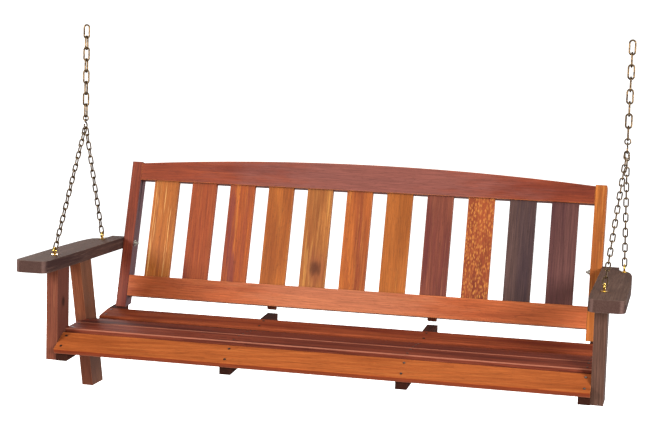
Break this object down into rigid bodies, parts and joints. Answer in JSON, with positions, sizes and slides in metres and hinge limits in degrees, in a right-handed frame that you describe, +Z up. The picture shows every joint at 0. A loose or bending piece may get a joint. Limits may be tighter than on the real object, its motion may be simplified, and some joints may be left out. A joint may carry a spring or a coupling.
{
  "type": "porch swing",
  "caption": "Slatted timber porch swing bench with a leaning back, contoured seat and board arms, hung from two V-shaped chain bridles.",
  "frame": {"origin": "bottom centre of the whole object's box, on its centre plane", "axes": "+X along the bench to the right seen from the front, -Y towards the front of the seat, +Z up"},
  "size_m": [1.869, 0.7724, 1.217],
  "materials": {
    "golden_wood": "satin varnish",
    "red_brown_wood": "satin varnish",
    "purple_wood": "satin varnish",
    "orange_wood": "satin varnish",
    "light_orange_wood": "satin varnish",
    "dark_red_wood": "satin varnish",
    "lacewood": "satin varnish",
    "black_purple_wood": "satin varnish",
    "rail_wood": "satin varnish",
    "dark_wood": "satin varnish",
    "arm_wood": "satin varnish",
    "bright_brass": "bare metal",
    "aged_brass": "bare metal",
    "zinc_steel": "bare metal"
  },
  "bodies": {
    "hang_links": {"left_hang_link": "aged_brass", "right_hang_link": "aged_brass"},
    "upper_chains": {"left_upper_chain": "aged_brass", "right_upper_chain": "aged_brass", "left_bridle_ring": "aged_brass", "right_bridle_ring": "aged_brass"},
    "bench": {"left_back_post": "red_brown_wood", "right_back_post": "orange_wood", "top_rail": "rail_wood", "lower_rail": "orange_wood", "back_slat_01": "golden_wood", "back_slat_02": "red_brown_wood", "back_slat_03": "purple_wood", "back_slat_04": "orange_wood", "back_slat_05": "golden_wood", "back_slat_06": "red_brown_wood", "back_slat_07": "light_orange_wood", "back_slat_08": "dark_red_wood", "back_slat_09": "lacewood", "back_slat_10": "black_purple_wood", "back_slat_11": "dark_red_wood", "left_batten": "dark_wood", "right_batten": "dark_wood", "seat_board_1_front": "orange_wood", "seat_board_2": "dark_wood", "seat_board_3": "dark_wood", "seat_board_4": "dark_wood", "seat_board_5_rear": "rail_wood", "left_end_bearer": "dark_wood", "left_middle_bearer": "dark_wood", "right_middle_bearer": "dark_wood", "right_end_bearer": "dark_wood", "left_arm": "arm_wood", "right_arm": "arm_wood", "left_front_post": "red_brown_wood", "right_front_post": "arm_wood", "left_slanted_leg": "red_brown_wood", "left_front_eye_bolt": "bright_brass", "left_rear_eye_bolt": "bright_brass", "right_front_eye_bolt": "bright_brass", "right_rear_eye_bolt": "bright_brass", "eye_bolt_washers": "bright_brass", "eye_bolt_nuts": "bright_brass", "arm_bolts": "zinc_steel", "arm_bolt_washers": "zinc_steel", "arm_bolt_nuts": "zinc_steel", "frame_bolts": "zinc_steel", "frame_bolt_washers": "zinc_steel", "seat_screws": "zinc_steel", "rail_screws": "zinc_steel", "batten_screws": "zinc_steel", "left_s_hook": "aged_brass", "right_s_hook": "aged_brass", "left_front_chain": "aged_brass", "right_front_chain": "aged_brass", "left_rear_chain": "aged_brass", "right_rear_chain": "aged_brass"}
  },
  "joints": [
    {"name": "swing_sway", "type": "hinge", "parent": "hang_links", "child": "upper_chains", "pos_m": [0, 0.07433, 1.17005], "axis": [1, 0, 0], "range_deg": [-35, 35]},
    {"name": "bench_pitch", "type": "hinge", "parent": "upper_chains", "child": "bench", "pos_m": [0, 0.07433, 0.894], "axis": [1, 0, 0], "range_deg": [-15, 15]}
  ]
}
